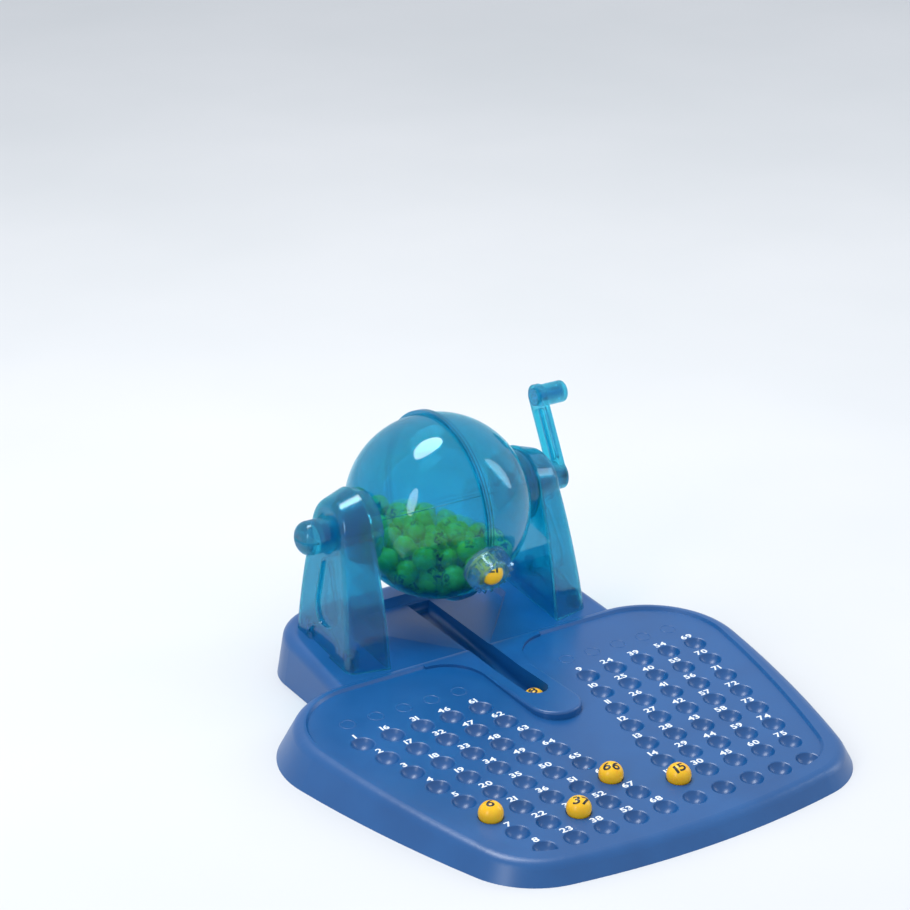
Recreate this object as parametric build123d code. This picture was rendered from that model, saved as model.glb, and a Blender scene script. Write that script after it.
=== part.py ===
from build123d import *
import os
import random
from math import cos, hypot, radians, sin, sqrt, tan

# Tabletop bingo cage: a clear ball globe turned by a crank between two hollow towers, over a
# tray that holds each drawn ball in its numbered dimple.
# Millimetres. X runs across the tray (the crank is at +X), Y runs to the back, Z is up.
# The origin is on the resting plane, in the middle of the part's overall box.

# ---- balls and the tray's lattice ----
BALL_DIAMETER = 15.5
ROW_PITCH = 22.0            # dimple to dimple, in both directions
ROWS = 8
COLUMNS = 5                 # on each of the two boards
INNER_GAP = 11.0            # centre line to the nearest dimple, in the front row
ROW_SHIFT = 4.4             # each row further back starts this much further out
FIRST_ROW_Y = 3.9
DIMPLE_DEPTH = 5.4
DIMPLE_FLARE = 0.35         # depth of the soft rim of the pocket

# ---- tray ----
PANEL_HEIGHT = 20.0         # panel surface above the resting plane, at the first row
TRAY_TILT = 3.0             # degrees, front lower
TRAY_FRONT_Y = -184.6
TRAY_BACK_Y = 85.4
TRAY_FRONT_HALF = 130.0     # half width at the front corners, before they are rounded
TRAY_BACK_HALF = 182.0
FRONT_CORNER_SETBACK = 15.5 # how far the front bulges beyond its corners
SIDE_BULGE = 10.0
FRONT_CORNER_RADIUS = 54.0
BACK_CORNER_RADIUS = 70.0
TRAY_DRAFT = 28.0           # degrees, side walls
SHOULDER_RADIUS = 8.0
RIM_WIDTH = 5.0             # flat rim between the shoulder and the panel
PANEL_STEP = 1.8            # rim above the panel
STEP_DRAFT = 40.0
WALL = 2.2

# ---- tongue and chute ----
TONGUE_HALF = 17.5
TONGUE_END_Y = -35.1
TONGUE_TOP = 23.4
TONGUE_FLARE = 28.0         # radius where the tongue spreads into the back rim
TONGUE_EDGE = 2.0
SLOT_END_Y = -2.6
SLOT_FLOOR = 4.6            # lowest point of the chute's floor
SLOT_BACK_Y = 145.4
SLOT_SIDE_CLEARANCE = 0.95
CHUTE_SLOPE = 6.22           # degrees
CHUTE_CORNER = 4.0

# ---- rear deck ----
DECK_BACK_Y = 175.4
DECK_FRONT_Y = 55.4
DECK_HALF = 114.0
DECK_BACK_HALF = 110.0
DECK_CORNER_RADIUS = 42.0
DECK_DRAFT = 9.0
DECK_LINE_Y = 71.9          # where the deck rises out of the tray
DECK_HEIGHT = 24.5          # at that line
DECK_SLOPE = 6.3            # degrees
DECK_SHOULDER = 8.0
HOPPER_SLOPE = 2.3          # degrees, the funnel floor under the globe
HOPPER_FRONT_HALF = 10.0
HOPPER_BACK_HALF = 54.0
HOPPER_CORNER_Y = 121.4
HOPPER_BACK_Y = 147.4
HOPPER_CORNER_RADIUS = 18.0
HOPPER_DRAFT = 35.0

# ---- globe ----
AXLE_Y = 119.8
AXLE_Z = 108.9
GLOBE_RADIUS = 62.4
GLOBE_WALL = 1.8
SEAM_RISE = 2.4
SEAM_WIDTH = 2.0            # of each half's flange
HUB_RADIUS = 25.0
HUB_FACE = 65.2             # distance of the hub's outer face from the globe's centre
HUB_RECESS = 1.6
AXLE_RADIUS = 7.0
AXLE_FLANGE_RADIUS = 11.0
AXLE_FLANGE = 2.4

# ---- ball outlet ----
OUTLET_DROP = 21.0          # degrees below the horizontal, pointing forwards
OUTLET_TUBE_WALL = 3.4
OUTLET_END = 73.0           # distance of its mouth from the globe's centre
OUTLET_FLANGE_RADIUS = 16.0
OUTLET_FLANGE = 3.0
OUTLET_RIBS = 18
OUTLET_RIB_WIDTH = 1.5
OUTLET_BALL_GAP = 0.6       # from the waiting ball to the balls inside
OUTLET_CLEARANCE = 0.15

# ---- towers ----
TOWER_INNER = 66.0          # inner face
TOWER_FACE = 86.0           # outer face, at the height of the axle
TOWER_LEAN = 6.0            # degrees, the outer face spreads towards its foot
TOWER_WALL = 2.2
TOWER_ARCH_INNER = 27.0     # arch radius about the axle
TOWER_ARCH_OUTER = 21.5
TOWER_FRONT_INNER = 47.0    # reach of the foot in front of the axle
TOWER_FRONT_OUTER = 41.0
TOWER_BACK_INNER = 36.0
TOWER_BACK_OUTER = 30.0
TOWER_FOOT_Z = 16.9         # the sections run down to here, below the deck's surface
TOWER_SIDE_BULGE = 3.0
TOWER_EDGE = 7.0
HUB_SEAT_RADIUS = 13.5
HUB_SEAT_DEPTH = 3.0
TOWER_BOSS_RADIUS = 12.0
PLATE = 2.0                 # bearing plate thickness
PLATE_GAP = 0.2
SCREW_X = 87.5
SCREW_SPAN = (87.4, 135.4)  # Y of the two screws of a tower
SCREW_RADIUS = 1.5
SCREW_HEAD_RADIUS = 3.2
SCREW_HEAD = 2.2
SCREW_REACH = 9.0
SCREW_BOSS_RADIUS = 4.3
SCREW_SEAT_Z = 17.0

# ---- crank and knob ----
CRANK_LEAN = 27.0           # degrees back from upright, at rest
CRANK_REACH = 55.0
CRANK_FACE = 95.2           # inner face of the arm
CRANK_THICKNESS = 5.0
CRANK_HALF_WIDTH = 8.6
CRANK_HUB_RADIUS = 10.0
CRANK_RIM = 2.0
CRANK_POCKET = 2.6
DRIVE_SQUARE = 8.6
HANDLE_RADIUS = 7.6
HANDLE_LENGTH = 17.5
HANDLE_PIN_RADIUS = 4.0
HANDLE_HEAD_RADIUS = 6.2
HANDLE_HEAD = 1.4
KNOB_RADIUS = 11.5
KNOB_END = 107.0
KNOB_SLIT = 1.4
KNOB_SLIT_DEPTH = 9.0

# ---- fits ----
RUNNING_FIT = 0.08          # radial
SEAT_FIT = 0.05             # radial, pieces held still
END_PLAY = 0.6
BALL_GAP = 0.3

# ---- blocks are drawn this tall, and are then cut off along their planes ----
TRAY_STOCK = 45.0
DECK_STOCK = 60.0
CHUTE_STOCK = 40.0

# ---- contents of the globe ----
BALLS_IN_GLOBE = 69
PILE_SEED = 11

BALL_RADIUS = BALL_DIAMETER / 2
DIMPLE_RADIUS = BALL_RADIUS + BALL_GAP
GLOBE_INSIDE = GLOBE_RADIUS - GLOBE_WALL
OUTLET_BALL_AT = GLOBE_INSIDE + BALL_RADIUS + OUTLET_BALL_GAP
SLOT_HALF = BALL_RADIUS + SLOT_SIDE_CLEARANCE
DIMPLE_CENTRE = DIMPLE_RADIUS - DIMPLE_DEPTH
TOWER_DEPTH = AXLE_Z - TOWER_FOOT_Z
TRAY_PLANE = Plane(origin=(0, FIRST_ROW_Y, PANEL_HEIGHT), x_dir=(1, 0, 0),
                   z_dir=(0, -sin(radians(TRAY_TILT)), cos(radians(TRAY_TILT))))
CHUTE_PLANE = Plane(origin=(0, SLOT_END_Y, SLOT_FLOOR), x_dir=(1, 0, 0),
                    z_dir=(0, -sin(radians(CHUTE_SLOPE)), cos(radians(CHUTE_SLOPE))))
DECK_PLANE = Plane(origin=(0, DECK_LINE_Y, DECK_HEIGHT), x_dir=(1, 0, 0),
                   z_dir=(0, -sin(radians(DECK_SLOPE)), cos(radians(DECK_SLOPE))))
HOPPER_PLANE = Plane(origin=(0, DECK_LINE_Y, DECK_HEIGHT), x_dir=(1, 0, 0),
                     z_dir=(0, -sin(radians(HOPPER_SLOPE)), cos(radians(HOPPER_SLOPE))))
OUTLET_PLANE = Plane(origin=(0, AXLE_Y, AXLE_Z), x_dir=(1, 0, 0),
                     z_dir=(0, -cos(radians(OUTLET_DROP)), -sin(radians(OUTLET_DROP))))
HANDLE_Y = AXLE_Y + CRANK_REACH * sin(radians(CRANK_LEAN))
HANDLE_Z = AXLE_Z + CRANK_REACH * cos(radians(CRANK_LEAN))
BIG = 800.0
parts = {}


# ---- helpers ----
def above(plane, rise=0.0):
    """Everything above a plane, as a large block."""
    return plane * Pos(0, 0, rise + BIG / 2) * Box(BIG, BIG, BIG)


def rod(radius, x_low, x_high, y=AXLE_Y, z=AXLE_Z):
    """A cylinder along X."""
    return Pos((x_low + x_high) / 2, y, z) * Rot(0, 90, 0) * Cylinder(radius, x_high - x_low)


def square_bar(side, x_low, x_high):
    """A square bar along X, about the axle."""
    return Pos((x_low + x_high) / 2, AXLE_Y, AXLE_Z) * Box(x_high - x_low, side, side)


def closed_face(*edges):
    return make_face(Curve() + list(edges))


def rounded(face, axis, index, radius):
    """Round the corners of a face that lie furthest along an axis."""
    return fillet(face.vertices().group_by(axis)[index], radius)


def circle_through(a, b, c):
    """Centre and radius of the circle through three points."""
    turn = 2 * (a[0] * (b[1] - c[1]) + b[0] * (c[1] - a[1]) + c[0] * (a[1] - b[1]))
    squares = [p[0] ** 2 + p[1] ** 2 for p in (a, b, c)]
    x = (squares[0] * (b[1] - c[1]) + squares[1] * (c[1] - a[1]) + squares[2] * (a[1] - b[1])) / turn
    y = (squares[0] * (c[0] - b[0]) + squares[1] * (a[0] - c[0]) + squares[2] * (b[0] - a[0])) / turn
    return (x, y), hypot(a[0] - x, a[1] - y)


def meeting_point(first, first_radius, second, second_radius):
    """Where two circles meet, on the side of larger X."""
    dx, dy = second[0] - first[0], second[1] - first[1]
    apart = hypot(dx, dy)
    along = (apart ** 2 + first_radius ** 2 - second_radius ** 2) / (2 * apart)
    across = sqrt(first_radius ** 2 - along ** 2)
    base_x, base_y = first[0] + along * dx / apart, first[1] + along * dy / apart
    return max((base_x + s * across * dy / apart, base_y - s * across * dx / apart) for s in (-1, 1))


def arc_about(centre, radius, start, end):
    """The short arc of a circle from one point to another."""
    x, y = (start[0] + end[0]) / 2 - centre[0], (start[1] + end[1]) / 2 - centre[1]
    reach = radius / hypot(x, y)
    return ThreePointArc(start, (centre[0] + x * reach, centre[1] + y * reach), end)


# ---- base moulding ----
def tray_outline(inset=0.0):
    """Plan of the tray: a bulging front, gently curved sides and a straight back."""
    corner_y = TRAY_FRONT_Y + FRONT_CORNER_SETBACK
    middle_x = (TRAY_FRONT_HALF + TRAY_BACK_HALF) / 2 + SIDE_BULGE
    middle_y = (corner_y + TRAY_BACK_Y) / 2
    corner = (TRAY_FRONT_HALF, corner_y)
    front_centre, front_radius = circle_through((-TRAY_FRONT_HALF, corner_y), (0, TRAY_FRONT_Y), corner)
    side_centre, side_radius = circle_through(corner, (middle_x, middle_y), (TRAY_BACK_HALF, TRAY_BACK_Y))
    front_radius -= inset
    side_radius -= inset
    back_y = TRAY_BACK_Y - inset
    corner = meeting_point(front_centre, front_radius, side_centre, side_radius)
    back_x = side_centre[0] + sqrt(side_radius ** 2 - (back_y - side_centre[1]) ** 2)
    face = closed_face(
        arc_about(front_centre, front_radius, (-corner[0], corner[1]), corner),
        arc_about(side_centre, side_radius, corner, (back_x, back_y)),
        Line((back_x, back_y), (-back_x, back_y)),
        arc_about((-side_centre[0], side_centre[1]), side_radius, (-back_x, back_y), (-corner[0], corner[1])))
    face = rounded(face, Axis.Y, 0, FRONT_CORNER_RADIUS - inset)
    return rounded(face, Axis.Y, -1, BACK_CORNER_RADIUS - inset)


def tray_block(inset, rim_drop, shoulder):
    """The drafted tray, cut off along its tilted top and given a soft shoulder."""
    block = extrude(tray_outline(inset), amount=TRAY_STOCK, taper=TRAY_DRAFT) - above(TRAY_PLANE, PANEL_STEP - rim_drop)
    return fillet(block.faces().sort_by(Axis.Z)[-1].edges(), shoulder)


def deck_block(inset, drop, shoulder):
    """The drafted rear deck, cut off along its sloping top."""
    front, back = DECK_FRONT_Y + inset, DECK_BACK_Y - inset
    half_front, half_back = DECK_HALF - inset, DECK_BACK_HALF - inset
    face = make_face(Polyline((-half_front, front), (half_front, front), (half_back, back),
                              (-half_back, back), close=True))
    face = rounded(face, Axis.Y, -1, DECK_CORNER_RADIUS - inset)
    block = extrude(face, amount=DECK_STOCK, taper=DECK_DRAFT) - above(DECK_PLANE, -drop)
    top = block.faces().sort_by(Axis.Z)[-1]
    return fillet(top.edges().sort_by(Axis.Y)[1:], shoulder)


def tongue_outline(half, end_y, flare):
    """Plan of the tongue: straight sides, a round end and flares into the back rim."""
    back = TRAY_BACK_Y
    root = back - (TRAY_BACK_Y - DECK_LINE_Y) - 8.0
    round_y = end_y + half
    diagonal = flare * (1 - sqrt(0.5))
    return closed_face(
        ThreePointArc((-half, round_y), (0, end_y), (half, round_y)),
        Line((half, round_y), (half, root - flare)),
        ThreePointArc((half, root - flare), (half + diagonal, root - diagonal), (half + flare, root)),
        Polyline((half + flare, root), (half + flare, back), (-half - flare, back), (-half - flare, root)),
        ThreePointArc((-half - flare, root), (-half - diagonal, root - diagonal), (-half, root - flare)),
        Line((-half, root - flare), (-half, round_y)))


def in_tray_plane(face):
    """Lay a plan drawn in X and Y onto the tilted panel."""
    return TRAY_PLANE * Pos(0, -FIRST_ROW_Y, 0) * face


def panel_recess():
    """The sunken panel of the two boards, which leaves the tongue standing."""
    lean_in = PANEL_HEIGHT * tan(radians(TRAY_DRAFT))
    shoulder_in = SHOULDER_RADIUS * tan(radians((90 - TRAY_DRAFT) / 2))
    inset = lean_in + shoulder_in + RIM_WIDTH
    rise = 2 * PANEL_STEP
    floor = in_tray_plane(tray_outline(inset))
    rim = in_tray_plane(Pos(0, 0, rise) * tray_outline(inset - rise * tan(radians(STEP_DRAFT))))
    tongue = tongue_outline(TONGUE_HALF, TONGUE_END_Y, TONGUE_FLARE)
    return loft([floor, rim], ruled=True) - extrude(in_tray_plane(tongue), amount=4 * PANEL_STEP)


def tongue_block():
    """The raised tongue round the end of the chute, flat on top."""
    face = make_face(Polyline((-TONGUE_HALF, SLOT_FLOOR), (TONGUE_HALF, SLOT_FLOOR),
                              (TONGUE_HALF, TONGUE_TOP), (-TONGUE_HALF, TONGUE_TOP), close=True))
    length = DECK_LINE_Y - TONGUE_END_Y
    block = extrude(Plane.XZ.offset(-DECK_LINE_Y) * face, amount=length)
    block = fillet(block.edges().filter_by(Axis.Z).group_by(Axis.Y)[0], TONGUE_HALF - 0.01)
    return fillet(block.faces().sort_by(Axis.Z)[-1].edges().sort_by(Axis.Y)[:-1], TONGUE_EDGE)


def chute_block(grow, drop):
    """The straight channel that the drawn ball rolls down, round at its lower end."""
    half = SLOT_HALF + grow
    length = (SLOT_BACK_Y - SLOT_END_Y) / cos(radians(CHUTE_SLOPE))
    face = closed_face(
        ThreePointArc((-half, half - grow), (0, -grow), (half, half - grow)),
        Polyline((half, half - grow), (half, length + grow), (-half, length + grow), (-half, half - grow)))
    block = extrude(CHUTE_PLANE * Pos(0, 0, -drop) * face, amount=CHUTE_STOCK)
    return fillet(block.faces().sort_by(Axis.Z)[0].edges(), CHUTE_CORNER)


def hopper_outline(grow):
    """Plan of the funnel: narrow at the front, wide and round-cornered at the back."""
    front, back = -grow, HOPPER_BACK_Y - DECK_LINE_Y + grow
    half = HOPPER_BACK_HALF + grow
    corner = HOPPER_CORNER_Y - DECK_LINE_Y
    face = make_face(Polyline(
        (-HOPPER_FRONT_HALF - grow, front), (HOPPER_FRONT_HALF + grow, front), (half, corner),
        (half, back), (-half, back), (-half, corner), close=True))
    return rounded(face, Axis.Y, -1, HOPPER_CORNER_RADIUS)


def hopper_block(grow, drop):
    """The shallow funnel under the globe, which leads a ball into the chute."""
    rise = 20.0
    faces = [HOPPER_PLANE * Pos(0, 0, up - drop) * hopper_outline(grow + up * tan(radians(HOPPER_DRAFT)))
             for up in (0.0, rise)]
    return loft(faces, ruled=True)


def dimple_places():
    """Centres of the dimples along the panel, measured from the middle of the first row."""
    for row in range(ROWS):
        first = INNER_GAP + ROW_SHIFT * (ROWS - 1 - row)
        for column in range(COLUMNS):
            for side in (-1, 1):
                yield side * (first + ROW_PITCH * column), -ROW_PITCH * row


def dimple_tool():
    """A spherical pocket whose rim flares softly into the panel."""
    lip = -DIMPLE_FLARE
    lip_radius = sqrt(DIMPLE_RADIUS ** 2 - (DIMPLE_CENTRE - lip) ** 2)
    half_way = 0.6 * lip_radius
    half_depth = DIMPLE_CENTRE - sqrt(DIMPLE_RADIUS ** 2 - half_way ** 2)
    flare_end = lip_radius + 2.4 * DIMPLE_FLARE
    section = closed_face(
        ThreePointArc((0, -DIMPLE_DEPTH), (half_way, half_depth), (lip_radius, lip)),
        Polyline((lip_radius, lip), (flare_end, 0.1), (flare_end, 1.5), (0, 1.5), (0, -DIMPLE_DEPTH)))
    return revolve(Plane.XZ * section, Axis.Z)


def screw_places():
    return [(side * SCREW_X, y) for side in (-1, 1) for y in SCREW_SPAN]


def base_void():
    """The hollow under the moulding, which leaves an even wall, ribs and bosses."""
    draft_wall = WALL / cos(radians(TRAY_DRAFT))
    void = tray_block(draft_wall, PANEL_STEP + WALL, SHOULDER_RADIUS - WALL)
    void += deck_block(WALL, WALL, DECK_SHOULDER - WALL)
    void -= hopper_block(WALL, WALL)
    void -= chute_block(WALL, WALL)
    boss = Pos(0, 0, DIMPLE_CENTRE) * Sphere(DIMPLE_RADIUS + WALL)
    void -= [TRAY_PLANE * Pos(x, y, 0) * boss for x, y in dimple_places()]
    ribs = []
    for row in (1, 3, 5):
        ribs.append(TRAY_PLANE * Pos(0, -ROW_PITCH * (row + 0.5), 0) * Box(2 * BIG, WALL * 0.7, PANEL_HEIGHT))
    void -= [rib & Pos(0, 0, BIG / 2 + WALL) * Box(2 * BIG, BIG, BIG) for rib in ribs]
    seat = Pos(0, 0, SCREW_SEAT_Z + BIG / 2) * Cylinder(SCREW_BOSS_RADIUS + 1, BIG)
    void -= [Pos(x, y, 0) * seat for x, y in screw_places()]
    return void


def base_moulding():
    body = tray_block(0, 0, SHOULDER_RADIUS) + deck_block(0, 0, DECK_SHOULDER)
    body -= panel_recess()
    body += tongue_block()
    body -= hopper_block(0, 0)
    body -= chute_block(0, 0)
    body -= base_void()
    tool = dimple_tool()
    body -= [TRAY_PLANE * Pos(x, y, 0) * tool for x, y in dimple_places()]
    hole = Cylinder(SCREW_RADIUS + 2 * RUNNING_FIT, BIG)
    body -= [Pos(x, y, 0) * hole for x, y in screw_places()]
    return body


# ---- towers ----
def tower_section(x, lean, arch, front, back):
    """One section of a tower: an arch about the axle with sides that spread to the foot."""
    plane = Plane(origin=(x, AXLE_Y, AXLE_Z), x_dir=(0, 1, 0), z_dir=(cos(radians(lean)), 0, sin(radians(lean))))
    bulge = TOWER_SIDE_BULGE
    face = closed_face(
        ThreePointArc((-arch, 0), (0, arch), (arch, 0)),
        ThreePointArc((arch, 0), ((arch + back) / 2 + bulge, -TOWER_DEPTH / 2), (back, -TOWER_DEPTH)),
        Line((back, -TOWER_DEPTH), (-front, -TOWER_DEPTH)),
        ThreePointArc((-front, -TOWER_DEPTH), (-(arch + front) / 2 - bulge, -TOWER_DEPTH / 2), (-arch, 0)))
    return plane * face


def tower_block(inset, inner_x, face_x, edge):
    """A tower from its inner face to its outer face, with round outer edges."""
    inner = tower_section(inner_x, 0, TOWER_ARCH_INNER - inset, TOWER_FRONT_INNER - inset,
                          TOWER_BACK_INNER - inset)
    outer = tower_section(face_x, TOWER_LEAN, TOWER_ARCH_OUTER - inset, TOWER_FRONT_OUTER - inset,
                          TOWER_BACK_OUTER - inset)
    block = loft([inner, outer])
    face = block.faces().sort_by(Axis.X)[-1]
    return fillet(face.edges().sort_by(Axis.Z)[1:], edge)


def face_recess(grow, depth):
    """The long drop-shaped hollow and the oval below it, sunk into a tower's outer face."""
    plane = Plane(origin=(TOWER_FACE, AXLE_Y, AXLE_Z), x_dir=(0, 1, 0),
                  z_dir=(cos(radians(TOWER_LEAN)), 0, sin(radians(TOWER_LEAN))))
    top = Pos(-2, -24) * Circle(5 + grow)
    foot = Pos(-6, -50) * Circle(12 + grow)
    drop = make_hull(top.edges() + foot.edges())
    oval = Pos(-5, -74) * Ellipse(17 + grow, 8 + grow)
    sunk = plane * Pos(0, 0, -depth)
    return extrude(sunk * drop, amount=depth + 4, taper=-20) + extrude(sunk * oval, amount=depth + 4, taper=-20)


def tower_shell():
    """The right-hand tower: a clear shell, open towards the globe and at its foot."""
    shell = tower_block(0, TOWER_INNER, TOWER_FACE, TOWER_EDGE) - face_recess(0, 2.0)
    hollow = tower_block(TOWER_WALL, TOWER_INNER, TOWER_FACE - TOWER_WALL, TOWER_EDGE - TOWER_WALL)
    hollow -= face_recess(TOWER_WALL, 2.0 + TOWER_WALL)
    hollow -= rod(TOWER_BOSS_RADIUS, TOWER_INNER + PLATE + PLATE_GAP, BIG)
    hollow -= rod(HUB_SEAT_RADIUS + TOWER_WALL, TOWER_FACE - HUB_SEAT_DEPTH - TOWER_WALL, BIG)
    for y in SCREW_SPAN:
        post = Pos(SCREW_X, y, 0) * Cylinder(SCREW_BOSS_RADIUS, BIG)
        hollow -= post - above(DECK_PLANE, SCREW_REACH + WALL)
    shell -= hollow
    shell -= rod(HUB_SEAT_RADIUS, TOWER_FACE - HUB_SEAT_DEPTH, BIG)
    shell -= rod(AXLE_RADIUS + RUNNING_FIT, 0, BIG)
    for y in SCREW_SPAN:
        shell -= Pos(SCREW_X, y, 0) * Cylinder(SCREW_RADIUS, BIG) - above(DECK_PLANE, SCREW_REACH)
    return shell & above(DECK_PLANE)


def bearing_plate():
    """The plate that closes the right-hand tower towards the globe and carries the axle."""
    reach = (PLATE + PLATE_GAP) / (TOWER_FACE - TOWER_WALL - TOWER_INNER)
    inset = TOWER_WALL + PLATE_GAP
    arch = TOWER_ARCH_INNER - (TOWER_ARCH_INNER - TOWER_ARCH_OUTER) * reach - inset
    front = TOWER_FRONT_INNER - (TOWER_FRONT_INNER - TOWER_FRONT_OUTER) * reach - inset
    back = TOWER_BACK_INNER - (TOWER_BACK_INNER - TOWER_BACK_OUTER) * reach - inset
    plate = extrude(tower_section(TOWER_INNER, 0, arch, front, back), amount=PLATE)
    return (plate - rod(AXLE_RADIUS + RUNNING_FIT, 0, BIG)) & above(DECK_PLANE)


def tower_screws():
    """Pan-head screws that hold the towers from under the deck."""
    screws = []
    for x, y in screw_places():
        tip = DECK_HEIGHT + (y - DECK_LINE_Y) * tan(radians(DECK_SLOPE)) + SCREW_REACH - 1
        head = fillet(Cylinder(SCREW_HEAD_RADIUS, SCREW_HEAD).edges().group_by(Axis.Z)[0], 0.9)
        shank = Cylinder(SCREW_RADIUS - SEAT_FIT, tip - SCREW_SEAT_Z)
        shank = Pos(0, 0, (tip - SCREW_SEAT_Z) / 2) * shank
        slot = Box(0.8, 2 * SCREW_HEAD_RADIUS - 1.6, 1.6) + Box(2 * SCREW_HEAD_RADIUS - 1.6, 0.8, 1.6)
        screw = Pos(0, 0, -SCREW_HEAD / 2) * head + shank - Pos(0, 0, -SCREW_HEAD) * slot
        screws.append(Pos(x, y, SCREW_SEAT_Z) * screw)
    return screws


# ---- globe ----
def outlet_bore(radius, start):
    """A cylinder along the outlet's axis."""
    return OUTLET_PLANE * Pos(0, 0, start + BIG / 2) * Cylinder(radius, BIG)


def globe_half():
    """The right half of the globe, with its seam flange and the hub that seats the axle."""
    inside, outside = GLOBE_INSIDE, GLOBE_RADIUS
    seat_radius = AXLE_FLANGE_RADIUS + SEAT_FIT
    recess_floor = HUB_FACE - HUB_RECESS
    ring, rim = AXLE_FLANGE_RADIUS + 3, HUB_RADIUS - 3
    hub_root = sqrt(outside ** 2 - HUB_RADIUS ** 2)
    seam_root = sqrt(outside ** 2 - SEAM_WIDTH ** 2)
    crest = outside + SEAM_RISE
    section = closed_face(
        ThreePointArc((0, inside), (inside * cos(radians(45)), inside * sin(radians(45))), (inside, 0)),
        Polyline((inside, 0), (HUB_FACE - AXLE_FLANGE, 0), (HUB_FACE - AXLE_FLANGE, seat_radius),
                 (HUB_FACE, seat_radius), (HUB_FACE, ring), (recess_floor, ring), (recess_floor, rim),
                 (HUB_FACE, rim), (HUB_FACE, HUB_RADIUS), (hub_root, HUB_RADIUS)),
        ThreePointArc((hub_root, HUB_RADIUS), (outside * cos(radians(60)), outside * sin(radians(60))),
                      (SEAM_WIDTH, seam_root)),
        Polyline((SEAM_WIDTH, seam_root), (SEAM_WIDTH, crest), (0, crest), (0, inside)))
    body = Pos(0, AXLE_Y, AXLE_Z) * revolve(section, Axis.X)
    hole = BALL_RADIUS + OUTLET_CLEARANCE + OUTLET_TUBE_WALL + SEAT_FIT
    body -= outlet_bore(hole, 0)
    seat_start = sqrt(outside ** 2 - OUTLET_FLANGE_RADIUS ** 2)
    flange_seat = outlet_bore(OUTLET_FLANGE_RADIUS + SEAT_FIT, seat_start - 1)
    return body - (flange_seat - Pos(0, AXLE_Y, AXLE_Z) * Sphere(outside))


def outlet_collar():
    """The ribbed collar on the seam, which lets one ball at a time leave the globe."""
    bore = BALL_RADIUS + OUTLET_CLEARANCE
    tube = bore + OUTLET_TUBE_WALL
    centre = Pos(0, AXLE_Y, AXLE_Z)
    collar = OUTLET_PLANE * Pos(0, 0, OUTLET_END / 2) * Cylinder(tube, OUTLET_END)
    flange_start = GLOBE_RADIUS - 2
    flange_end = GLOBE_RADIUS + OUTLET_FLANGE
    flange = Cylinder(OUTLET_FLANGE_RADIUS, flange_end - flange_start)
    collar += OUTLET_PLANE * Pos(0, 0, (flange_start + flange_end) / 2) * flange \
        - centre * Sphere(GLOBE_RADIUS + SEAT_FIT)
    rib_height = OUTLET_END - 1.5 - flange_end
    for index in range(OUTLET_RIBS):
        rib = Box(OUTLET_FLANGE_RADIUS - tube + 0.6, OUTLET_RIB_WIDTH, rib_height + 1)
        place = Pos((OUTLET_FLANGE_RADIUS + tube - 1.2) / 2, 0, flange_end + (rib_height - 1) / 2)
        collar += OUTLET_PLANE * Rot(0, 0, 360 * index / OUTLET_RIBS) * place * rib
    return collar - outlet_bore(bore, 0) - centre * Sphere(GLOBE_INSIDE + SEAT_FIT)


def axle(end_x):
    """A stub axle with the flange that seats in the globe's hub."""
    return rod(AXLE_FLANGE_RADIUS, HUB_FACE - AXLE_FLANGE, HUB_FACE) + rod(AXLE_RADIUS, HUB_FACE, end_x)


def drive_axle():
    """The right-hand axle, with a square end for the crank and a hole for its screw."""
    shoulder = TOWER_FACE - HUB_SEAT_DEPTH + END_PLAY
    body = axle(shoulder) + square_bar(DRIVE_SQUARE, shoulder, CRANK_FACE + CRANK_THICKNESS - 0.4)
    return body - rod(SCREW_RADIUS, CRANK_FACE - 6, BIG)


def end_knob():
    """The bullet-shaped knob on the left-hand axle, slit so that it springs on."""
    start = TOWER_FACE - HUB_SEAT_DEPTH + END_PLAY
    knob = rod(KNOB_RADIUS, start, KNOB_END)
    knob = fillet(knob.edges().sort_by(Axis.X)[-1], KNOB_RADIUS * 0.7)
    knob = fillet(knob.edges().sort_by(Axis.X)[0], 0.8)
    slit = Pos(KNOB_END - KNOB_SLIT_DEPTH / 2 + 1, AXLE_Y, AXLE_Z)
    knob -= slit * Box(KNOB_SLIT_DEPTH + 2, 2 * KNOB_RADIUS, KNOB_SLIT)
    return knob - rod(AXLE_RADIUS + SEAT_FIT, 0, start + 8)


# ---- crank ----
def arm_plane(x):
    """A plane across X whose local Y runs up the crank arm."""
    lean = radians(CRANK_LEAN)
    return Plane(origin=(x, AXLE_Y, AXLE_Z), x_dir=(0, cos(lean), -sin(lean)), z_dir=(1, 0, 0))


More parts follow.
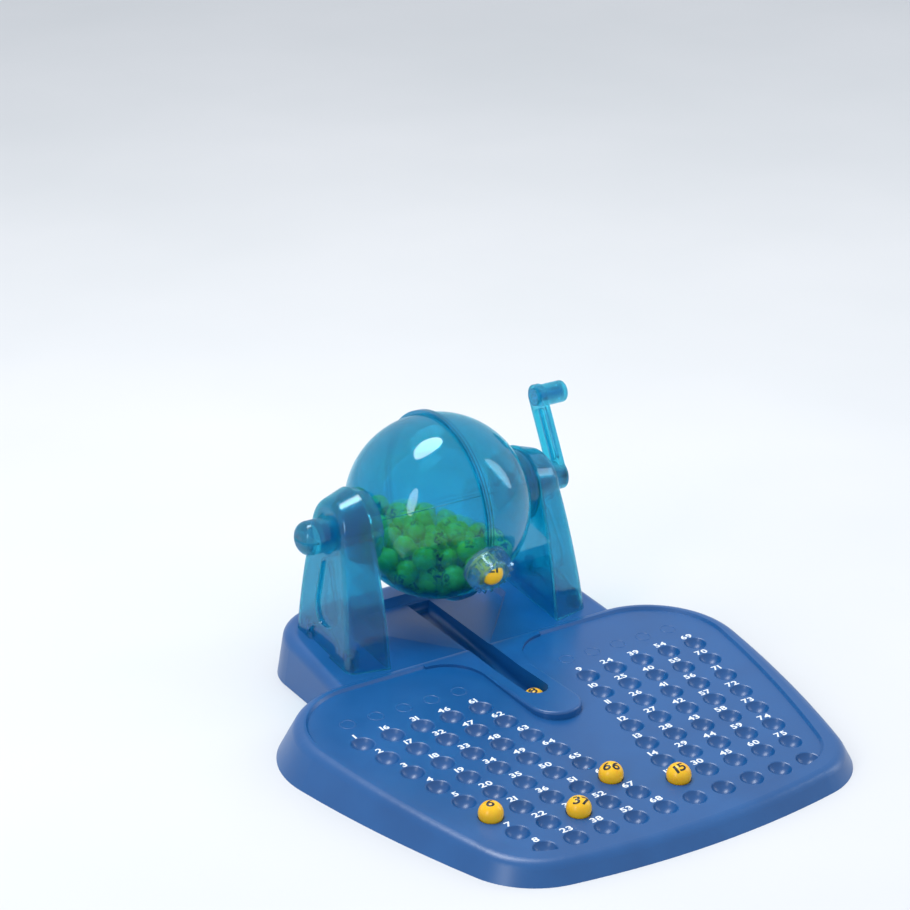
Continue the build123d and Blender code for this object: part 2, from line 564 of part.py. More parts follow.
def crank_arm():
    """The crank arm: a rimmed channel with a square socket and the handle's bore."""
    outline = SlotOverall(CRANK_REACH + 2 * CRANK_HALF_WIDTH, 2 * CRANK_HALF_WIDTH)
    outline = Pos(0, CRANK_REACH / 2) * Rot(0, 0, 90) * outline
    outline += Circle(CRANK_HUB_RADIUS)
    arm = extrude(arm_plane(CRANK_FACE) * outline, amount=CRANK_THICKNESS)
    arm = fillet(arm.faces().sort_by(Axis.X)[-1].edges(), 1.2)
    inner_half = CRANK_HALF_WIDTH - CRANK_RIM
    pocket_length = CRANK_REACH - CRANK_HUB_RADIUS - HANDLE_HEAD_RADIUS - 2
    pocket = Pos(0, CRANK_HUB_RADIUS + pocket_length / 2) * RectangleRounded(
        2 * inner_half, pocket_length, inner_half * 0.6)
    arm -= extrude(arm_plane(CRANK_FACE) * pocket, amount=CRANK_POCKET)
    arm += extrude(arm_plane(CRANK_FACE) * Pos(0, CRANK_HUB_RADIUS + pocket_length / 2)
                   * Rectangle(1.6, pocket_length), amount=CRANK_POCKET)
    arm += rod(CRANK_HUB_RADIUS, TOWER_FACE - HUB_SEAT_DEPTH + END_PLAY, CRANK_FACE)
    arm -= square_bar(DRIVE_SQUARE + 2 * SEAT_FIT, 0, CRANK_FACE + CRANK_THICKNESS - 0.4)
    arm -= rod(SCREW_RADIUS + RUNNING_FIT, 0, BIG)
    return arm - rod(HANDLE_PIN_RADIUS + RUNNING_FIT, 0, BIG, HANDLE_Y, HANDLE_Z)


def crank_screw():
    """The screw that keeps the crank on its square."""
    outer = CRANK_FACE + CRANK_THICKNESS
    head = fillet(rod(4.0, outer, outer + 2.4).edges().sort_by(Axis.X)[-1], 1.0)
    screw = head + rod(SCREW_RADIUS - SEAT_FIT, CRANK_FACE - 5, outer)
    slot = Box(1.6, 5.4, 0.9) + Box(1.6, 0.9, 5.4)
    return screw - Pos(outer + 2.4, AXLE_Y, AXLE_Z) * slot


def handle_grip():
    """The finger grip that turns on its pin."""
    start = CRANK_FACE + CRANK_THICKNESS + END_PLAY
    grip = rod(HANDLE_RADIUS, start, start + HANDLE_LENGTH, HANDLE_Y, HANDLE_Z)
    grip = fillet(grip.edges().sort_by(Axis.X)[-1], 2.2)
    grip = fillet(grip.edges().sort_by(Axis.X)[0], 0.6)
    return grip - rod(HANDLE_PIN_RADIUS + SEAT_FIT, 0, start + HANDLE_LENGTH - 3, HANDLE_Y, HANDLE_Z)


def handle_pin():
    """The pin through the arm, with a flat head on the arm's inner side."""
    head_end = CRANK_FACE - 0.3
    tip = CRANK_FACE + CRANK_THICKNESS + END_PLAY + HANDLE_LENGTH - 3.2
    head = rod(HANDLE_HEAD_RADIUS, head_end - HANDLE_HEAD, head_end, HANDLE_Y, HANDLE_Z)
    head = fillet(head.edges().sort_by(Axis.X)[0], 0.6)
    return head + rod(HANDLE_PIN_RADIUS, head_end, tip, HANDLE_Y, HANDLE_Z)


# ---- balls ----
def ball_in_dimple(side, column, row):
    """A ball resting in a dimple; column 0 is the one nearest the centre line."""
    x = side * (INNER_GAP + ROW_SHIFT * (ROWS - 1 - row) + ROW_PITCH * column)
    height = BALL_RADIUS + BALL_GAP - DIMPLE_DEPTH
    return TRAY_PLANE * Pos(x, -ROW_PITCH * row, height) * Sphere(BALL_RADIUS)


def ball_in_chute():
    return CHUTE_PLANE * Pos(0, SLOT_HALF, BALL_RADIUS + BALL_GAP) * Sphere(BALL_RADIUS)


def ball_in_outlet():
    return OUTLET_PLANE * Pos(0, 0, OUTLET_BALL_AT) * Sphere(BALL_RADIUS)


def settle_pile():
    """Drop the balls into the globe and let them settle into a loose, leaning pile."""
    rng = random.Random(PILE_SEED)
    reach = GLOBE_INSIDE - BALL_RADIUS - 0.6
    spacing = BALL_DIAMETER + 0.12
    places = []
    while len(places) < BALLS_IN_GLOBE:
        place = [rng.uniform(-reach, reach) for _ in range(3)]
        if hypot(*place) < reach:
            places.append(place)
    pull = (-0.05, 0.04, -0.40)
    for step in range(900):
        if step < 700:
            for place in places:
                for axis in range(3):
                    place[axis] += pull[axis]
        for i, first in enumerate(places):
            for second in places[:i]:
                gap = [second[k] - first[k] for k in range(3)]
                distance = hypot(*gap)
                if distance < spacing:
                    push = 0.5 * (spacing - distance) / max(distance, 0.01)
                    for k in range(3):
                        first[k] -= push * gap[k]
                        second[k] += push * gap[k]
        for place in places:
            distance = hypot(*place)
            if distance > reach:
                for k in range(3):
                    place[k] *= reach / distance
    return places


def ball_pile():
    return [Pos(x, AXLE_Y + y, AXLE_Z + z) * Sphere(BALL_RADIUS) for x, y, z in settle_pile()]


# ---- the pieces ----
parts["base_moulding"] = base_moulding()
shell, plate, half = tower_shell(), bearing_plate(), globe_half()
parts["tower_right_shell"] = shell
parts["tower_left_shell"] = mirror(shell, about=Plane.YZ)
parts["tower_right_plate"] = plate
parts["tower_left_plate"] = mirror(plate, about=Plane.YZ)
parts["tower_screws"] = Compound(children=tower_screws())
parts["globe_right_half"] = half
parts["globe_left_half"] = mirror(half, about=Plane.YZ)
parts["outlet_collar"] = outlet_collar()
parts["drive_axle"] = drive_axle()
parts["idle_axle"] = mirror(axle(TOWER_FACE - HUB_SEAT_DEPTH + END_PLAY + 8), about=Plane.YZ)
parts["end_knob"] = mirror(end_knob(), about=Plane.YZ)
parts["crank_arm"] = crank_arm()
parts["crank_screw"] = crank_screw()
parts["handle_grip"] = handle_grip()
parts["handle_pin"] = handle_pin()
parts["ball_in_outlet"] = ball_in_outlet()
parts["ball_in_chute"] = ball_in_chute()
parts["ball_6"] = ball_in_dimple(-1, 4, 5)
parts["ball_37"] = ball_in_dimple(-1, 2, 6)
parts["ball_66"] = ball_in_dimple(-1, 0, 5)
parts["ball_15"] = ball_in_dimple(1, 0, 6)
parts["ball_pile"] = Compound(children=ball_pile())

os.makedirs("parts", exist_ok=True)
for name, solid in parts.items():
    export_step(solid, f"parts/{name}.step")
    print(f"{name}: {len(solid.solids())} solid(s), {solid.volume / 1000:.1f} cm3")
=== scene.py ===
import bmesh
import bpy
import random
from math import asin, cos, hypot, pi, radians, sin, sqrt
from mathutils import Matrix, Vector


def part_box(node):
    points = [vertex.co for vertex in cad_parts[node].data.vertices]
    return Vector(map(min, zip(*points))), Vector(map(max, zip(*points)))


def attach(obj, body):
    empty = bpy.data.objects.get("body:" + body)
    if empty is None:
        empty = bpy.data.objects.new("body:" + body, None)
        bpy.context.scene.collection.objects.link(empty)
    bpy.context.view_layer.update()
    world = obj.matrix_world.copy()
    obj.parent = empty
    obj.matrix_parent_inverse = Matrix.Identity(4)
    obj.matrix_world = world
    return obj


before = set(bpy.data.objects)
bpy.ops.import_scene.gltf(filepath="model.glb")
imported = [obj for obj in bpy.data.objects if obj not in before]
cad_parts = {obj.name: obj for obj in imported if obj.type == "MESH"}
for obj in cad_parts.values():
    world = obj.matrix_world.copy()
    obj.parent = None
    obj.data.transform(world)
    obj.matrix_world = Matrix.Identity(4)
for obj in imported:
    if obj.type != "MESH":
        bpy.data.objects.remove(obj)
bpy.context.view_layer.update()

# %% [markdown]
# # A tabletop bingo cage
# A clear blue globe full of numbered balls hangs between two hollow towers and is turned with a
# crank. Each drawn ball leaves through the fluted outlet, rolls down the chute and is put in the
# dimple that carries its number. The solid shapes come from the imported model, which is loaded
# above as a fixed frame. This lesson adds what a CAD model lacks: finishes, printed numbers,
# moulding marks and light.

MM = 0.001
BALL_RADIUS = 7.75 * MM
AXLE = Vector((0, 119.8, 108.9)) * MM
GLOBE_RADIUS = 62.4 * MM
HUB_RADIUS = 25.0 * MM
ROWS, COLUMNS = 8, 5
ROW_PITCH = 22.0 * MM
INNER_GAP = 11.0 * MM
ROW_SHIFT = 4.4 * MM
TRAY_TILT = radians(3.0)
TRAY_PLANE = Matrix.Translation(Vector((0, 3.9, 20.0)) * MM) @ Matrix.Rotation(TRAY_TILT, 4, "X")


# %% [markdown]
# Two helpers carry the whole file. The first adds one node to a tree, with its settings and its
# links. The second turns a colour from the hex form that paint and print charts use into the
# linear values that a renderer works in.

# %% Helpers for nodes and colours
def add(tree, kind, links=None, **settings):
    """Add a node; links gives an input's name or number a value or another node's output."""
    node = tree.nodes.new(kind)
    for name, value in settings.items():
        setattr(node, name, value)
    for key, value in (links or {}).items():
        if isinstance(value, bpy.types.NodeSocket):
            tree.links.new(value, node.inputs[key])
        else:
            node.inputs[key].default_value = value
    return node


def srgb(code):
    """A hex colour as linear red, green, blue and alpha."""
    parts = [int(code[i:i + 2], 16) / 255 for i in (1, 3, 5)]
    return [c / 12.92 if c <= 0.04045 else ((c + 0.055) / 1.055) ** 2.4 for c in parts] + [1.0]


def per_size(millimetres):
    """The noise scale whose features are about this many millimetres across."""
    return 1 / (millimetres * MM)


def new_material(name):
    material = bpy.data.materials.new(name)
    material.use_nodes = True
    material.node_tree.nodes.clear()
    return material, material.node_tree


def ramp(tree, factor, low, high, start=0.3, end=0.7):
    """Blend two colours by a factor."""
    node = add(tree, "ShaderNodeValToRGB", {"Fac": factor})
    node.color_ramp.elements[0].position = start
    node.color_ramp.elements[0].color = low
    node.color_ramp.elements[1].position = end
    node.color_ramp.elements[1].color = high
    return node.outputs["Color"]


def moulded(name, low, high, ior, roughness, grain, relief, cloud=45.0, spread=0.08, **sockets):
    """A moulded plastic: two near colours in soft clouds, and the fine grain of its mould."""
    material, tree = new_material(name)
    place = add(tree, "ShaderNodeTexCoord").outputs["Object"]
    clouds = add(tree, "ShaderNodeTexNoise", {"Vector": place, "Scale": per_size(cloud), "Detail": 3.0})
    fine = add(tree, "ShaderNodeTexNoise", {"Vector": place, "Scale": per_size(grain), "Detail": 2.0})
    rough = add(tree, "ShaderNodeMapRange", {
        "Value": clouds.outputs["Fac"], "From Min": 0.3, "From Max": 0.7,
        "To Min": roughness - spread / 2, "To Max": roughness + spread / 2})
    bump = add(tree, "ShaderNodeBump", {"Height": fine.outputs["Fac"], "Strength": 0.5,
                                        "Distance": relief * MM})
    surface = add(tree, "ShaderNodeBsdfPrincipled", {
        "Base Color": ramp(tree, clouds.outputs["Fac"], srgb(low), srgb(high)), "IOR": ior,
        "Roughness": rough.outputs["Result"], "Normal": bump.outputs["Normal"], **sockets})
    add(tree, "ShaderNodeOutputMaterial", {"Surface": surface.outputs["BSDF"]})
    print("material", name)
    return material


# %% [markdown]
# ## The blue base
# The tray and deck are one injection moulding in high-impact polystyrene, coloured through. Its
# mould was polished on the rims and lightly grained on the panels, so it has a soft sheen and
# blurred highlights. Two close blues in wide clouds stand for the flow of the melt, and a fine
# bump stands for the grain. Polystyrene bends light at 1.59.

# %% Moulded polystyrene, royal blue
BASE_PLASTIC = moulded("moulded_polystyrene_blue", "#084E8A", "#0C5796", 1.59, 0.34, 0.9, 0.02)


# %% [markdown]
# ## The clear blue plastic
# Globe, towers, crank and knob are moulded in transparent general-purpose polystyrene with a
# cyan dye. Light crosses a wall twice as a tint, so thick edges look deeper than thin walls.
# A renderer has trouble sending lamp light through glass, so shadow rays meet a plain tinted
# Transparent shader instead, and the balls inside are lit. A long, shallow bump gives the slow
# ripple that moulded walls show in their reflections.

# %% Clear polystyrene, dyed cyan
CLEAR_SHARE = 0.96      # of the wall's colour that is seen through it
STRAIGHT_SHARE = 0.35   # of the light that crosses without bending


def clear_plastic(name, low, high, through, lamp_tint, roughness, ripple):
    material, tree = new_material(name)
    place = add(tree, "ShaderNodeTexCoord").outputs["Object"]
    flow = add(tree, "ShaderNodeTexNoise", {"Vector": place, "Scale": per_size(30), "Detail": 2.0,
                                            "Distortion": 0.6})
    waves = add(tree, "ShaderNodeTexNoise", {"Vector": place, "Scale": per_size(16), "Detail": 1.0})
    bump = add(tree, "ShaderNodeBump", {"Height": waves.outputs["Fac"], "Strength": 0.5,
                                        "Distance": ripple * MM})
    surface = add(tree, "ShaderNodeBsdfPrincipled", {
        "Base Color": ramp(tree, flow.outputs["Fac"], srgb(low), srgb(high)), "IOR": 1.59,
        "Roughness": roughness, "Transmission Weight": CLEAR_SHARE, "Normal": bump.outputs["Normal"]})
    straight = add(tree, "ShaderNodeBsdfTransparent", {"Color": srgb(through)})
    wall = add(tree, "ShaderNodeMixShader", {0: STRAIGHT_SHARE, 1: surface.outputs["BSDF"],
                                             2: straight.outputs["BSDF"]})
    lamps = add(tree, "ShaderNodeBsdfTransparent", {"Color": srgb(lamp_tint)})
    ray = add(tree, "ShaderNodeLightPath")
    both = add(tree, "ShaderNodeMixShader", {0: ray.outputs["Is Shadow Ray"], 1: wall.outputs["Shader"],
                                             2: lamps.outputs["BSDF"]})
    add(tree, "ShaderNodeOutputMaterial", {"Surface": both.outputs["Shader"]})
    print("material", name)
    return material


CLEAR_BLUE = clear_plastic(
    "clear_polystyrene_cyan", "#38C2DE", "#46CBE5", "#7ADDEE", "#E2FAFC", 0.04, 0.25)
CLEAR_PALE = clear_plastic(
    "clear_polystyrene_pale", "#9CCFEE", "#ABD8F2", "#CDE8F8", "#E0F4FC", 0.05, 0.15)

# %% [markdown]
# ## Balls, inks and screws
# The balls are moulded polypropylene, a warm yellow with a faint waxy grain. Their numbers are
# pad-printed in black ink, and the tray's numbers are hot-stamped in white foil. The screws are
# zinc-plated steel. Polypropylene bends light at 1.49 and is polished to a roughness near 0.3; the
# inks dry flatter than the plastic they are printed on, so they are rougher.

# %% Yellow polypropylene, black and white inks, zinc plate
BALL_PLASTIC = moulded("moulded_polypropylene_yellow", "#FFBC0C", "#FFC91C", 1.49, 0.30, 0.7, 0.012,
                       cloud=9.0, **{"Subsurface Weight": 0.12, "Subsurface Scale": 0.002})
BLACK_INK = moulded("pad_printed_black_ink", "#101114", "#1B1D22", 1.50, 0.42, 0.5, 0.006, cloud=3.0)
WHITE_FOIL = moulded("hot_stamped_white_foil", "#E6EFF8", "#F7FBFF", 1.50, 0.45, 0.5, 0.01, cloud=4.0)
ZINC = moulded("zinc_plated_steel", "#AEB3B8", "#C6CACE", 1.5, 0.30, 0.6, 0.008, cloud=3.0,
               **{"Metallic": 1.0})

# %% [markdown]
# Every solid that came with the frame keeps its shape and gets one of these finishes in place of
# the plain colour that it was packed with.

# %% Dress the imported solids
FINISHES = {"base_moulding": BASE_PLASTIC, "tower_screws": ZINC, "crank_screw": ZINC,
            "outlet_collar": CLEAR_PALE}
for name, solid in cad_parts.items():
    finish = FINISHES.get(name, BALL_PLASTIC if name.startswith("ball") else CLEAR_BLUE)
    solid.data.materials.clear()
    solid.data.materials.append(finish)
print("dressed", len(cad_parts), "solids")


# %% [markdown]
# ## Making a finished piece
# A finished piece is a plain mesh whose object sits at the origin, unturned, with its place in
# its points. This helper makes one from a working mesh, gives it a finish, and lets it ride on
# the body that it is fixed to.

# %% A helper that turns working meshes into pieces
def finish_piece(name, mesh, material, body):
    piece = bpy.data.objects.new(name, mesh)
    bpy.context.scene.collection.objects.link(piece)
    mesh.materials.clear()
    mesh.materials.append(material)
    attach(piece, body)
    print(name, "has", len(mesh.polygons), "faces")
    return piece


def from_points(name, points, faces):
    mesh = bpy.data.meshes.new(name)
    mesh.from_pydata([tuple(p) for p in points], [], faces)
    mesh.update()
    return mesh


# %% [markdown]
# ## Numbers
# All the numbers, on the tray and on the balls, share ten digit shapes. Each is typeset once in
# the plain built-in face, made bolder and wider, turned into a thin solid mesh, and divided until
# it is fine enough to bend round a ball. A number is then a row of digits set side by side.

# %% Ten digits as thin solids
DIGIT_STRETCH = 1.35


def digit_shape(character, finest=0.16):
    """Points and faces of a digit one unit tall, standing on the plane from 0 to 1 in Z."""
    curve = bpy.data.curves.new("digit", "FONT")
    curve.body = character
    curve.resolution_u = 4
    curve.offset = 0.022
    curve.extrude = 0.5
    setter = bpy.data.objects.new("digit", curve)
    bpy.context.scene.collection.objects.link(setter)
    graph = bpy.context.evaluated_depsgraph_get()
    flat = bpy.data.meshes.new_from_object(setter.evaluated_get(graph))
    bpy.data.objects.remove(setter)
    shape = bmesh.new()
    shape.from_mesh(flat)
    bmesh.ops.remove_doubles(shape, verts=shape.verts, dist=1e-4)
    bmesh.ops.recalc_face_normals(shape, faces=shape.faces)
    low = [min(v.co[k] for v in shape.verts) for k in range(2)]
    tall = max(v.co.y for v in shape.verts) - low[1]
    for v in shape.verts:
        v.co = Vector(((v.co.x - low[0]) / tall * DIGIT_STRETCH, (v.co.y - low[1]) / tall, v.co.z + 0.5))
    for _ in range(4):
        bmesh.ops.triangulate(shape, faces=shape.faces)
        long_edges = [e for e in shape.edges if e.calc_length() > finest
                      and abs(e.verts[0].co.z - e.verts[1].co.z) < 0.5]
        bmesh.ops.subdivide_edges(shape, edges=long_edges, cuts=1)
    bmesh.ops.triangulate(shape, faces=shape.faces)
    points = [v.co.copy() for v in shape.verts]
    faces = [[v.index for v in f.verts] for f in shape.faces]
    shape.free()
    return points, faces


DIGITS = {character: digit_shape(character) for character in "0123456789"}
print("digits have", [len(faces) for _, faces in DIGITS.values()], "faces")


def number_shape(number, height, gap=0.13):
    """Points and faces of a whole number, centred on the origin."""
    points, faces, pen = [], [], 0.0
    for character in str(number):
        shape, triangles = DIGITS[character]
        faces += [[i + len(points) for i in t] for t in triangles]
        points += [Vector((p.x + pen, p.y, p.z)) for p in shape]
        pen = max(p.x for p in points) + gap
    wide = pen - gap
    return [Vector(((p.x - wide / 2) * height, (p.y - 0.5) * height, p.z)) for p in points], faces


# %% [markdown]
# ### Numbers on the tray
# The tray's left board counts 1 to 8, 16 to 23, 31 to 38, 46 to 53 and 61 to 68 from its outer
# column to its inner one. The right board carries on with the seven that are left of each
# fifteen. Each number stands just behind its dimple, so it still shows when a ball is in it.

# %% White numbers behind the dimples
NUMBER_HEIGHT = 4.7 * MM
NUMBER_BEHIND = 10.0 * MM
INK_TOP = 0.10 * MM
INK_FOOT = -0.10 * MM


PER_LETTER = 15     # numbers under each letter of a card


def tray_places():
    for column in range(COLUMNS):
        for row in range(ROWS):
            x = INNER_GAP + ROW_SHIFT * (ROWS - 1 - row) + ROW_PITCH * column
            yield PER_LETTER * (COLUMNS - 1 - column) + row + 1, -x, -ROW_PITCH * row
            if row < ROWS - 1:
                yield PER_LETTER * column + ROWS + row + 1, x, -ROW_PITCH * row


points, faces = [], []
for number, x, y in tray_places():
    shape, triangles = number_shape(number, NUMBER_HEIGHT)
    faces += [[i + len(points) for i in t] for t in triangles]
    points += [TRAY_PLANE @ Vector((x + p.x, y + NUMBER_BEHIND + p.y,
                                    INK_FOOT + p.z * (INK_TOP - INK_FOOT))) for p in shape]
tray_numbers = finish_piece("tray_numbers", from_points("tray_numbers", points, faces), WHITE_FOIL,
                            "base")


# %% [markdown]
# ### Numbers on the balls
# A printed number follows the ball. Each point of the flat number is taken as a distance and a
# direction from the number's middle, and laid out over the sphere by that same distance, which
# is how a pad wraps ink round a ball.

# %% Black numbers wrapped round a ball
BALL_NUMBER = 6.2 * MM
PRINT_TOP = 0.05 * MM
PRINT_FOOT = -0.12 * MM


def wrapped(number, centre, facing, up):
    """A number on a ball at centre, in the middle of the side that faces a direction."""
    axis = facing.normalized()
    across = up.cross(axis).normalized()
    rise = axis.cross(across)
    shape, triangles = number_shape(number, BALL_NUMBER)
    places = []
    for p in shape:
        reach = hypot(p.x, p.y)
        turn = reach / BALL_RADIUS
        side = (across * p.x + rise * p.y) / max(reach, 1e-9)
        out = BALL_RADIUS + PRINT_FOOT + p.z * (PRINT_TOP - PRINT_FOOT)
        places.append(centre + (axis * cos(turn) + side * sin(turn)) * out)
    return places, triangles


def middle(node):
    low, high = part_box(node)
    return (low + high) / 2


SEEN_RIGHT = Vector((0.838, -0.545, 0))
SEEN_UP = Vector((0.206, 0.317, 0.926))
SEEN_BACK = Vector((-0.505, -0.776, 0.378))


def faced(right, up):
    """The direction from a ball's middle to the spot that shows this far right and up, in radii."""
    return SEEN_RIGHT * right + SEEN_UP * up + SEEN_BACK * sqrt(max(0.0, 1 - right ** 2 - up ** 2))


TRAY_BALLS = {"ball_6": (6, -0.06, 0.86, 12), "ball_37": (37, 0.20, 0.72, -14),
              "ball_66": (66, 0.0, 0.76, 4), "ball_15": (15, 0.03, 0.70, 30)}
for node, (number, right, up, lean) in TRAY_BALLS.items():
    axis = faced(right, up)
    upright = Matrix.Rotation(radians(lean), 3, axis) @ SEEN_UP
    shape, triangles = wrapped(number, middle(node), axis, upright)
    finish_piece(f"number_on_{node}", from_points(node, shape, triangles), BLACK_INK, node)
shape, triangles = wrapped(8, middle("ball_in_chute"), Vector((-0.2, -0.1, 0.95)), Vector((0, 1, 0)))
finish_piece("number_on_ball_in_chute", from_points("chute_number", shape, triangles), BLACK_INK,
             "ball_in_chute")
shape, triangles = wrapped(21, middle("ball_in_outlet"), Vector((-0.3, -0.6, 0.75)), Vector((0, 0, 1)))
finish_piece("number_on_ball_in_outlet", from_points("outlet_number", shape, triangles), BLACK_INK,
             "globe")

# %% [markdown]
# ### Numbers on the balls in the globe
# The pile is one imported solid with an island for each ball. A copy is merged, its islands are
# walked one by one, and the middle of each is a ball's centre. Each ball then gets its number on
# two opposite sides, turned at random from a fixed seed, so every run gives the same pile.

# %% Black numbers on the pile
pile = bmesh.new()
pile.from_mesh(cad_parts["ball_pile"].data)
bmesh.ops.remove_doubles(pile, verts=pile.verts, dist=1e-5)
unseen, centres = set(pile.verts), []
while unseen:
    stack, island = [unseen.pop()], []
    while stack:
        vertex = stack.pop()
        island.append(vertex.co)
        for edge in vertex.link_edges:
            other = edge.other_vert(vertex)
            if other in unseen:
                unseen.remove(other)
                stack.append(other)
    centres.append(Vector([(min(c[k] for c in island) + max(c[k] for c in island)) / 2 for k in range(3)]))
pile.free()
centres.sort(key=lambda c: (round(c.z, 4), round(c.x, 4), round(c.y, 4)))
print("balls in the globe:", len(centres))

DRAWN = {6, 37, 66, 15, 8, 21}
left_in = [n for n in range(1, 76) if n not in DRAWN]
chance = random.Random(7)
chance.shuffle(left_in)
points, faces = [], []
for number, centre in zip(left_in, centres):
    facing = Vector([chance.gauss(0, 1) for _ in range(3)])
    up = Vector([chance.gauss(0, 1) for _ in range(3)])
    for side in (1, -1):
        shape, triangles = wrapped(number, centre, facing * side, up)
        faces += [[i + len(points) for i in t] for t in triangles]
        points += shape
finish_piece("numbers_on_pile", from_points("numbers_on_pile", points, faces), BLACK_INK, "base")


# %% [markdown]
# ## Raised marks on the boards
# Behind the first row each board has a strip of raised marks. On this model they are five plain
# rings, made by one Geometry Nodes tree: a line of points, a ring of bead on each, made real and
# given its finish. The modifier's inputs are set by their identifiers before it is evaluated, and
# the result is kept as a plain mesh.

# %% A helper for Geometry Nodes trees and their plain result
def new_tree(name, **inputs):
    """A Geometry Nodes tree with a geometry output and one named input for each size."""
    tree = bpy.data.node_groups.new(name, "GeometryNodeTree")
    tree.interface.new_socket("Geometry", in_out="OUTPUT", socket_type="NodeSocketGeometry")
    kinds = {int: "NodeSocketInt", float: "NodeSocketFloat", bpy.types.Material: "NodeSocketMaterial"}
    for label, kind in inputs.items():
        tree.interface.new_socket(label, in_out="INPUT", socket_type=kinds[kind])
    return tree, add(tree, "NodeGroupInput").outputs


def grown(tree, **values):
    """Evaluate a tree with these values, and give its result as a plain mesh."""
    carrier = bpy.data.objects.new("carrier", bpy.data.meshes.new("carrier"))
    bpy.context.scene.collection.objects.link(carrier)
    modifier = carrier.modifiers.new("tree", "NODES")
    modifier.node_group = tree
    for item in tree.interface.items_tree:
        if item.in_out == "INPUT" and item.name in values:
            modifier[item.identifier] = values[item.name]
    graph = bpy.context.evaluated_depsgraph_get()
    result = bpy.data.meshes.new_from_object(carrier.evaluated_get(graph))
    bpy.data.objects.remove(carrier)
    return result


# %% Raised rings, as a tree
rings, given = new_tree("raised_rings", Count=int, Pitch=float, Ring_Radius=float, Bead_Radius=float,
                        Finish=bpy.types.Material)
step = add(rings, "ShaderNodeCombineXYZ", {"X": given["Pitch"]})
line = add(rings, "GeometryNodeMeshLine", {"Count": given["Count"], "Offset": step.outputs[0]})
path = add(rings, "GeometryNodeCurvePrimitiveCircle", {"Resolution": 40, "Radius": given["Ring_Radius"]})
bead = add(rings, "GeometryNodeCurvePrimitiveCircle", {"Resolution": 10, "Radius": given["Bead_Radius"]})
ring = add(rings, "GeometryNodeCurveToMesh", {"Curve": path.outputs[0], "Profile Curve": bead.outputs[0]})
copies = add(rings, "GeometryNodeInstanceOnPoints", {"Points": line.outputs[0],
                                                     "Instance": ring.outputs[0]})
real = add(rings, "GeometryNodeRealizeInstances", {0: copies.outputs[0]})
smooth = add(rings, "GeometryNodeSetShadeSmooth", {0: real.outputs[0]})
dressed = add(rings, "GeometryNodeSetMaterial", {0: smooth.outputs[0], "Material": given["Finish"]})
add(rings, "NodeGroupOutput", {0: dressed.outputs[0]})

RING_PITCH = 20.8 * MM
RING_FIRST = 42.5 * MM
RING_BEHIND = 25.0 * MM
RING_COUNT = 5
RING_RADIUS = 5.0 * MM
RING_BEAD = 0.55 * MM
RING_SINK = 0.3 * MM
for side, label in ((-1, "left"), (1, "right")):
    mesh = grown(rings, Count=RING_COUNT, Pitch=RING_PITCH, Ring_Radius=RING_RADIUS, Bead_Radius=RING_BEAD,
                 Finish=BASE_PLASTIC)
    start = side * RING_FIRST if side > 0 else -RING_FIRST - (RING_COUNT - 1) * RING_PITCH
    mesh.transform(TRAY_PLANE @ Matrix.Translation((start, RING_BEHIND, -RING_SINK)))
    finish_piece(f"raised_rings_{label}", mesh, BASE_PLASTIC, "base")


# %% [markdown]
# ## Parting lines on the globe
# Each half of the globe was moulded in two sliding tool halves, which leave a fine raised line
# along a great circle through the axle. A closed bead swept along that arc, from the hub to the
# seam, gives the line on both sides of both halves.

# %% Fine raised lines over the globe
PARTING_TILT = radians(26)
BEAD = 0.28 * MM
BEAD_SIDES = 8
ARC_STEPS = 40
SEAM_HALF = 1.9 * MM


def swept(path, radius, sides=BEAD_SIDES):
    """A closed round bead along a path of points about the globe's centre."""
    points, faces = [], []
    for i, p in enumerate(path):
        ahead = (path[min(i + 1, len(path) - 1)] - path[max(i - 1, 0)]).normalized()
        out = (p - AXLE).normalized()
        across = ahead.cross(out).normalized()
        for k in range(sides):
            turn = 2 * pi * k / sides
            points.append(p + (across * cos(turn) + out * sin(turn)) * radius)
    for i in range(len(path) - 1):
        for k in range(sides):
            a, b = i * sides + k, i * sides + (k + 1) % sides
            faces.append([a, b, b + sides, a + sides])
    faces.append(list(range(sides))[::-1])
    faces.append([len(points) - sides + k for k in range(sides)])
    return points, faces


points, faces = [], []
hub_turn = asin(HUB_RADIUS / GLOBE_RADIUS)
seam_turn = pi / 2 - SEAM_HALF / GLOBE_RADIUS
for side in (-1, 1):
    for facing in (-1, 1):
        out = Vector((0, facing * cos(PARTING_TILT), -facing * sin(PARTING_TILT)))
        path = []
        for i in range(ARC_STEPS + 1):
            turn = hub_turn + (seam_turn - hub_turn) * i / ARC_STEPS
            path.append(AXLE + (Vector((side, 0, 0)) * cos(turn) + out * sin(turn)) * GLOBE_RADIUS)
        shape, quads = swept(path, BEAD)
        faces += [[i + len(points) for i in q] for q in quads]
        points += shape
lines = from_points("globe_parting_lines", points, faces)
fixer = bmesh.new()
fixer.from_mesh(lines)
bmesh.ops.recalc_face_normals(fixer, faces=fixer.faces)
fixer.to_mesh(lines)
fixer.free()
for polygon in lines.polygons:
    polygon.use_smooth = True
finish_piece("globe_parting_lines", lines, CLEAR_BLUE, "globe")

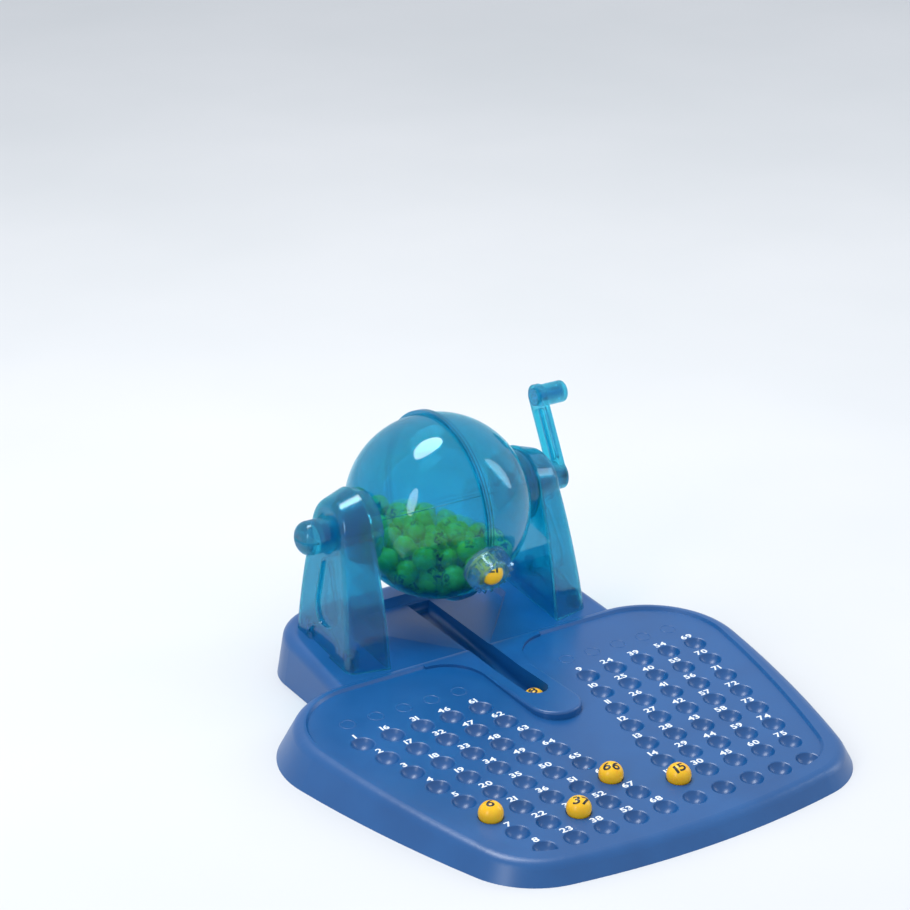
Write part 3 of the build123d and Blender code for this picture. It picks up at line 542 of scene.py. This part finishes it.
# %% [markdown]
# ## Floor, light and camera
# The cage stands on a seamless pale sheet. One large soft lamp hangs above and a little behind
# it, which gives the long highlight on top of the globe. A second one fills in from the front
# left, a weaker one does so from the right, and a pale sky lifts the shadows. The camera looks
# down on it from the front left through a long lens, so its sides stay nearly parallel.

# %% The floor
floor_material = moulded("pale_paper_sweep", "#DCDEDF", "#E2E3E4", 1.45, 0.7, 2.5, 0.01, cloud=400.0)
sheet = from_points("floor", [(-8, -8, 0), (8, -8, 0), (8, 8, 0), (-8, 8, 0)], [[0, 1, 2, 3]])
floor = bpy.data.objects.new("floor", sheet)
bpy.context.scene.collection.objects.link(floor)
sheet.materials.append(floor_material)


# %% The lamps and the sky
def softbox(name, place, target, width, depth, power, colour):
    lamp = bpy.data.lights.new(name, "AREA")
    lamp.shape = "ELLIPSE"
    lamp.size = width
    lamp.size_y = depth
    lamp.energy = power
    lamp.color = srgb(colour)[:3]
    stand = bpy.data.objects.new(name, lamp)
    stand.location = place
    stand.rotation_euler = (Vector(target) - Vector(place)).to_track_quat("-Z", "Y").to_euler()
    bpy.context.scene.collection.objects.link(stand)


softbox("key", (-0.10, 0.42, 1.5), (0, 0.05, 0.05), 0.95, 0.5, 13, "#FFFFFF")
softbox("fill", (-2.3, -0.9, 1.2), (0, 0, 0.05), 0.5, 1.6, 13, "#F4FAFF")
softbox("side", (2.2, -0.5, 1.1), (0, 0, 0.05), 0.5, 1.6, 7, "#F4FAFF")
sky = bpy.data.worlds.new("studio")
sky.use_nodes = True
sky.node_tree.nodes.clear()
glow = add(sky.node_tree, "ShaderNodeBackground", {"Color": srgb("#F2F7FF"), "Strength": 0.80})
add(sky.node_tree, "ShaderNodeOutputWorld", {"Surface": glow.outputs[0]})
bpy.context.scene.world = sky
bpy.context.scene.view_settings.view_transform = "Standard"

# %% The camera
CAMERA_TURN = radians(-33.04)
CAMERA_RISE = radians(22.23)
lens = bpy.data.cameras.new("camera")
lens.lens = 107.9
lens.sensor_width = 36
camera = bpy.data.objects.new("camera", lens)
camera.location = (-0.8983, -1.2825, 0.8255)
camera.rotation_euler = (pi / 2 - CAMERA_RISE, 0, CAMERA_TURN)
bpy.context.scene.collection.objects.link(camera)
bpy.context.scene.camera = camera
